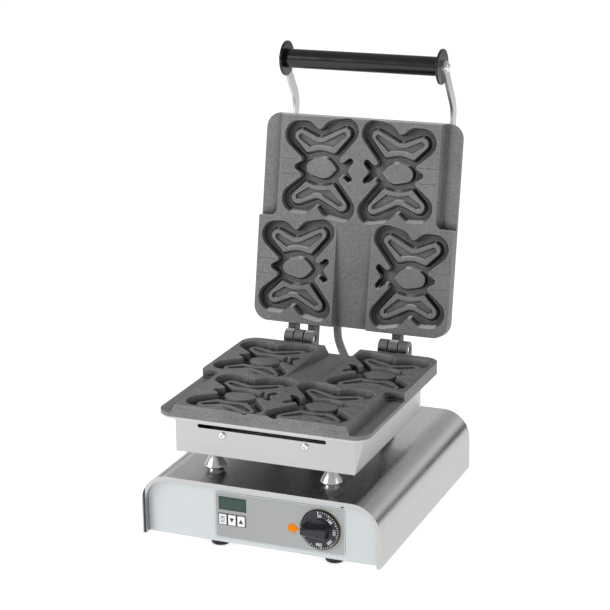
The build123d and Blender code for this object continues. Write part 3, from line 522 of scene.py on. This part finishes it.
FINISH_OF_SLOT = {
    "stainless_sheet": housing_steel, "inner_sheet": mill_steel, "panel_coat": panel_coat,
    "fascia_film": fascia_film, "display_lens": lens, "key_caps": key_white, "arrow_mark": arrow_orange,
    "dial_moulding": dial_plastic, "cast_plates": coat, "plated_steel": bright_plate,
    "grip_moulding": grip_plastic, "foot_rubber": rubber, "conduit_sleeve": sleeve,
    "dark_moulding": dark_plastic, "pale_moulding": pale_ceramic, "element_sheath": sheath,
    "fibre_board": board, "copper_tube": copper}
FINISH_OF_NODE = {
    "base_cover": cover_steel, "handle_arm_left": arm_steel, "handle_arm_right": arm_steel,
    "upper_baking_plate": lid_coat, "grip_disc_left": grip_plastic, "grip_disc_right": grip_plastic}


def dress_cad_nodes():
    """Each CAD node takes its own finish, or else its slot's."""
    for part in frame["record"]["subparts"]:
        node = nodes[part["node"]]
        finish = FINISH_OF_NODE.get(part["node"], FINISH_OF_SLOT[part["material_slot"]])
        node.data.materials.clear()
        node.data.materials.append(finish)


dress_cad_nodes()

# ---------------------------------------------------------------- conduit
conduit, conduit_line = make_conduit()
dress(conduit, sleeve, "base")
conduit.parent = None
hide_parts("lid_conduit")
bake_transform(conduit)

# ---------------------------------------------------------------- control panel marks
PRINT = 0.00010  # thickness of a printed mark
ON_FILM, ON_EDGE, ON_KEY, ON_LENS, ON_DIAL = 0.00008, 0.00006, 0.00004, 0.00003, 0.00010  # how proud it is

film_low, film_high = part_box("control_fascia")
dial_low, dial_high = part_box("thermostat_knob")
DIAL_R = (dial_high.x - dial_low.x) / 2
dial_centre = Vector(next(j for j in frame["joints"] if j["name"] == "dial_turn")["pos_m"])

KEY_FRAME_HALF_W, KEY_FRAME_HALF_H, KEY_FRAME_LINE = 0.00605, 0.0077, 0.0008
START_BAR_HALF_W, START_BAR_H = 0.0030, 0.0008
START_BAR_FEET = (-0.0040, -0.0022, 0.0014, 0.0032)
START_RULE = (-0.0036, 0.0036, -0.0003, 0.0002)
ARROW_HALF_W, ARROW_TAIL, ARROW_TIP = 0.0030, 0.0028, 0.0032


def key_symbol(name):
    """Plain bars and a rule on the start key, and an arrow on each of the others."""
    if name == "key_start_stop":
        bars = [strip(-START_BAR_HALF_W, START_BAR_HALF_W, z, z + START_BAR_H) for z in START_BAR_FEET]
        return bars + [strip(*START_RULE)]
    way = 1 if name == "key_up" else -1
    tail = -ARROW_TAIL * way
    return [[(-ARROW_HALF_W, tail), (ARROW_HALF_W, tail), (0.0, ARROW_TIP * way)]]


def key_marks():
    """A printed frame round each key, and its symbol."""
    w, h = KEY_FRAME_HALF_W, KEY_FRAME_HALF_H
    for name, body in (("key_start_stop", "start_stop_key"), ("key_down", "down_key"), ("key_up", "up_key")):
        low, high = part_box(name)
        middle = ((low.x + high.x) / 2, (low.z + high.z) / 2)
        outline = border(-w, w, -h, h, KEY_FRAME_LINE)
        loop = marks(name + "_frame", outline, film_low.y - ON_FILM, PRINT, middle)
        dress(loop, ink_dark, "base")
        symbol = marks(name + "_symbol", key_symbol(name), low.y - ON_KEY, PRINT, middle)
        dress(symbol, ink_dark, body)


DIGITS, DIGIT_PITCH, DIGIT_W, DIGIT_H, DIGIT_BAR = 4, 0.0070, 0.0050, 0.0086, 0.0007
DIGITS_FROM_LEFT, DIGITS_FROM_FOOT, WINDOW_LINE = 0.0042, 0.0036, 0.0007


def segment_digit(x, z):
    """The seven bars of a display digit, the three level ones first."""
    w, h, t = DIGIT_W, DIGIT_H, DIGIT_BAR
    mid = z + h / 2
    bars = [strip(x + t, x + w - t, foot, foot + t) for foot in (z, mid - t / 2, z + h - t)]
    halves = ((z + t * 1.2, mid - t * 0.7), (mid + t * 0.7, z + h - t * 1.2))
    for side in (x, x + w - t):
        bars += [strip(side, side + t, foot, head) for foot, head in halves]
    return bars


def display_marks():
    """Four unlit digits on the window, and a dark line round it."""
    low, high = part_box("display_window")
    shapes = []
    for i in range(DIGITS):
        shapes += segment_digit(low.x + DIGITS_FROM_LEFT + DIGIT_PITCH * i, low.z + DIGITS_FROM_FOOT)
    digits = marks("display_digits", shapes, low.y - ON_LENS, PRINT)
    dress(digits, lamp_green, "base")
    t = WINDOW_LINE
    line = border(low.x - t, high.x + t, low.z - t, high.z + t, t)
    loop = marks("display_frame", line, film_low.y - ON_FILM, PRINT)
    dress(loop, ink_dark, "base")


EDGE_INSET, EDGE_LINE, EDGE_CORNER_R, CORNER_STEPS = 0.0007, 0.0005, 0.0043, 8


def edge_loop(radius):
    """Points round the film's edge line, with its corners' centres at one place and this radius."""
    reach = EDGE_INSET + EDGE_CORNER_R
    left, right = film_low.x + reach, film_high.x - reach
    foot, head = film_low.z + reach, film_high.z - reach
    loop = []
    for x, z, start in ((right, head, 0), (left, head, 90), (left, foot, 180), (right, foot, 270)):
        for step in range(CORNER_STEPS + 1):
            a = math.radians(start + 90 * step / CORNER_STEPS)
            loop.append((x + radius * math.cos(a), z + radius * math.sin(a)))
    return loop


def fascia_edge():
    """A pale printed line just inside the film's edge."""
    outer, inner = edge_loop(EDGE_CORNER_R), edge_loop(EDGE_CORNER_R - EDGE_LINE)
    quads = []
    for k in range(len(outer)):
        j = (k + 1) % len(outer)
        quads.append([outer[k], outer[j], inner[j], inner[k]])
    line = marks("fascia_border", quads, film_low.y - ON_EDGE, PRINT, edge=0.0)
    dress(line, ink_white, "base")


TICKS, FIRST_TICK, TICK_STEP, LONG_EVERY = 37, 95, 7.2, 5  # angles in degrees
TICK_OUTER_R = 0.0240
LONG_TICK, SHORT_TICK = (0.0212, 0.00045), (0.0222, 0.0003)  # inner radius and half width
INDEX = (-0.0242, -0.0196, -0.0007, 0.0007)
NUMBER_ANGLES = (("50", 90), ("100", 46), ("150", 0), ("200", -46), ("250", -92))
NUMBER_R, NUMBER_SIZE, NUMBER_WEIGHT = 0.0182, 0.0052, 0.00012
SKIRT_BAND = (0.90, 0.97)  # the flat part of the skirt, as shares of the dial's radius


def skirt_front():
    """The Y of the dial's flat skirt: the foremost plane that reaches near its rim."""
    front = dial_high.y
    for vertex in nodes["thermostat_knob"].data.vertices:
        across = math.hypot(vertex.co.x - dial_centre.x, vertex.co.z - dial_centre.z)
        if SKIRT_BAND[0] * DIAL_R < across < SKIRT_BAND[1] * DIAL_R:
            front = min(front, vertex.co.y)
    return front


def tick(i):
    """The outline of one of the ticks round the dial, about the dial's centre."""
    inner_r, half = SHORT_TICK if i % LONG_EVERY else LONG_TICK
    angle = math.radians(FIRST_TICK - TICK_STEP * i)
    out = Vector((math.cos(angle), math.sin(angle)))
    side = Vector((-out.y, out.x)) * half
    inner, outer = out * inner_r, out * TICK_OUTER_R
    return [tuple(corner) for corner in (inner - side, outer - side, outer + side, inner + side)]


def dial_marks():
    """Ticks, an index line and numbers on the dial's skirt."""
    skirt_y = skirt_front()
    place = (dial_centre.x, dial_centre.z)
    outlines = [tick(i) for i in range(TICKS)]
    ticks = marks("dial_ticks", outlines, skirt_y - ON_DIAL, PRINT * 1.5, place, MARK_EDGE / 2)
    dress(ticks, ink_white, "dial")
    index = marks("dial_index", [strip(*INDEX)], skirt_y - ON_DIAL, PRINT * 1.5, place)
    dress(index, ink_white, "dial")
    for text, degrees in NUMBER_ANGLES:
        number(text, degrees, skirt_y)


def number(text, degrees, skirt_y):
    """A number on the dial's skirt, upright when its angle is at the top."""
    curve = bpy.data.curves.new("number", "FONT")
    curve.body = text
    curve.size, curve.extrude = NUMBER_SIZE, PRINT * 0.7
    curve.align_x, curve.align_y = "CENTER", "CENTER"
    curve.offset = NUMBER_WEIGHT
    holder = bpy.data.objects.new("number", curve)
    collection.objects.link(holder)
    a = math.radians(degrees)
    spot = dial_centre + NUMBER_R * Vector((math.cos(a), 0, math.sin(a)))
    upright = Matrix.Rotation(math.radians(90), 4, "X")
    lean = Matrix.Rotation(math.radians(90 - degrees), 4, "Y")
    holder.matrix_world = Matrix.Translation((spot.x, skirt_y - ON_DIAL / 2, spot.z)) @ lean @ upright
    bpy.context.view_layer.update()
    data = bpy.data.meshes.new_from_object(holder.evaluated_get(bpy.context.evaluated_depsgraph_get()))
    data.transform(holder.matrix_world)
    bpy.data.objects.remove(holder)
    piece = bpy.data.objects.new("dial_number_" + text, data)
    collection.objects.link(piece)
    dress(piece, ink_white, "dial")


RING_GAP, RING_W, RING_SIDE, RING_H, RING_BEVEL = 0.0001, 0.0012, 0.00025, 0.0004, 0.0003
SCREW_FROM_RIGHT, SCREW_ABOVE = 0.0035, 0.0028
SCREW_DOME = [(0.0, -0.0002), (0.0017, -0.0002), (0.0017, 0.0003), (0.0012, 0.0008), (0.0005, 0.0011),
              (0.0, 0.0011)]


def dial_ring():
    """A pale ring on the film, round the dial."""
    inner = DIAL_R + RING_GAP
    outer = inner + RING_W
    section = [(inner, 0.0), (outer, 0.0), (outer, RING_SIDE), (outer - RING_BEVEL, RING_H),
               (inner + RING_BEVEL, RING_H), (inner, RING_SIDE)]
    place = (dial_centre.x, film_low.y + 0.00002, dial_centre.z)
    ring = spun("dial_ring", section, place, (0, -1, 0), 96)
    dress(ring, ring_gold, "base")


def panel_pip():
    """The small dark screw near the film's upper right corner."""
    place = (film_high.x - SCREW_FROM_RIGHT, film_high.y, film_high.z + SCREW_ABOVE)
    pip = spun("panel_screw", SCREW_DOME, place, (0, -1, 0), 32)
    dress(pip, dark_plastic, "base")


key_marks()
display_marks()
fascia_edge()
dial_marks()
dial_ring()
panel_pip()

# ---------------------------------------------------------------- studio
FLOOR_SIZE, FLOOR_DROP, FLOOR_GLOW = 14, 0.0002, 0.66
SURROUND_R, SURROUND_GLOW = 20.0, 1.05
DARK_CARD_SIZE, DARK_CARD_PLACE = (9, 0.62), (0.6, 3.4, 0.30)
LIGHT_CARD_SIZE, LIGHT_CARD_PLACE, LIGHT_CARD_GLOW = (6.0, 0.60), (-0.4, 3.0, 1.0), 1.15
UPRIGHT, LEVEL = (math.radians(90), 0, 0), (0, 0, 0)
SKY_COLOUR, SKY_STRENGTH = (0.97, 0.985, 1, 1), 0.46


def area_light(name, place, aim, size, power):
    """A rectangular lamp at a place, turned to face its aim."""
    data = bpy.data.lights.new(name, "AREA")
    data.shape = "RECTANGLE"
    data.size, data.size_y = size
    data.energy = power
    light = bpy.data.objects.new(name, data)
    collection.objects.link(light)
    light.location = place
    light.rotation_mode = "QUATERNION"
    light.rotation_quaternion = (Vector(aim) - Vector(place)).to_track_quat("-Z", "Y")


def stage_material(name, colour, glow):
    """Matt paper for the studio, with a little light of its own so that it stays white."""
    s = Shader(name, Roughness=0.9, Specular_IOR_Level=0.1, Emission_Color=(1, 1, 1, 1),
               Emission_Strength=glow)
    fine = s.noise(300.0, 3.0)
    return s.use(Base_Color=s.shade(colour, s.spread(fine, 0.99, 1.01)))


def stage_sheet(name, size, place, turn, material):
    """A flat sheet of the studio."""
    mesh = bmesh.new()
    bmesh.ops.create_grid(mesh, x_segments=12, y_segments=12, size=0.5)
    sheet = finished(mesh, name)
    sheet.scale = (*size, 1)
    sheet.location, sheet.rotation_euler = place, turn
    sheet.data.materials.append(material)
    return sheet


def hide_from(piece, *rays):
    for ray in rays:
        setattr(piece, "visible_" + ray, False)


def make_stage():
    """A white floor and surround, cards for the steel to reflect, and soft lights."""
    stage_sheet("floor", (FLOOR_SIZE, FLOOR_SIZE), (0, 0, cad_box[0].z - FLOOR_DROP), LEVEL,
                stage_material("floor_paper", (0.85, 0.85, 0.85, 1), FLOOR_GLOW))
    mesh = bmesh.new()
    bmesh.ops.create_icosphere(mesh, subdivisions=4, radius=SURROUND_R)
    surround = finished(mesh, "surround")
    surround.data.materials.append(stage_material("surround_paper", (0, 0, 0, 1), SURROUND_GLOW))
    hide_from(surround, "diffuse", "glossy", "transmission", "shadow")
    dark_card = stage_sheet("dark_card", DARK_CARD_SIZE, DARK_CARD_PLACE, UPRIGHT,
                            stage_material("card_paper", (0.01, 0.01, 0.01, 1), 0.0))
    light_card = stage_sheet("light_card", LIGHT_CARD_SIZE, LIGHT_CARD_PLACE, UPRIGHT,
                             stage_material("light_card_paper", (0, 0, 0, 1), LIGHT_CARD_GLOW))
    for card in (dark_card, light_card):
        hide_from(card, "camera", "diffuse", "shadow")
    world = bpy.data.worlds.new("studio")
    scene.world = world
    world.use_nodes = True
    background = world.node_tree.nodes["Background"]
    background.inputs["Color"].default_value = SKY_COLOUR
    background.inputs["Strength"].default_value = SKY_STRENGTH
    area_light("key", (-2.0, -1.9, 1.45), (0, 0, 0.3), (1.6, 1.4), 44)
    area_light("side", (2.4, -0.3, 1.5), (0, 0, 0.2), (1.2, 1.6), 6)


make_stage()
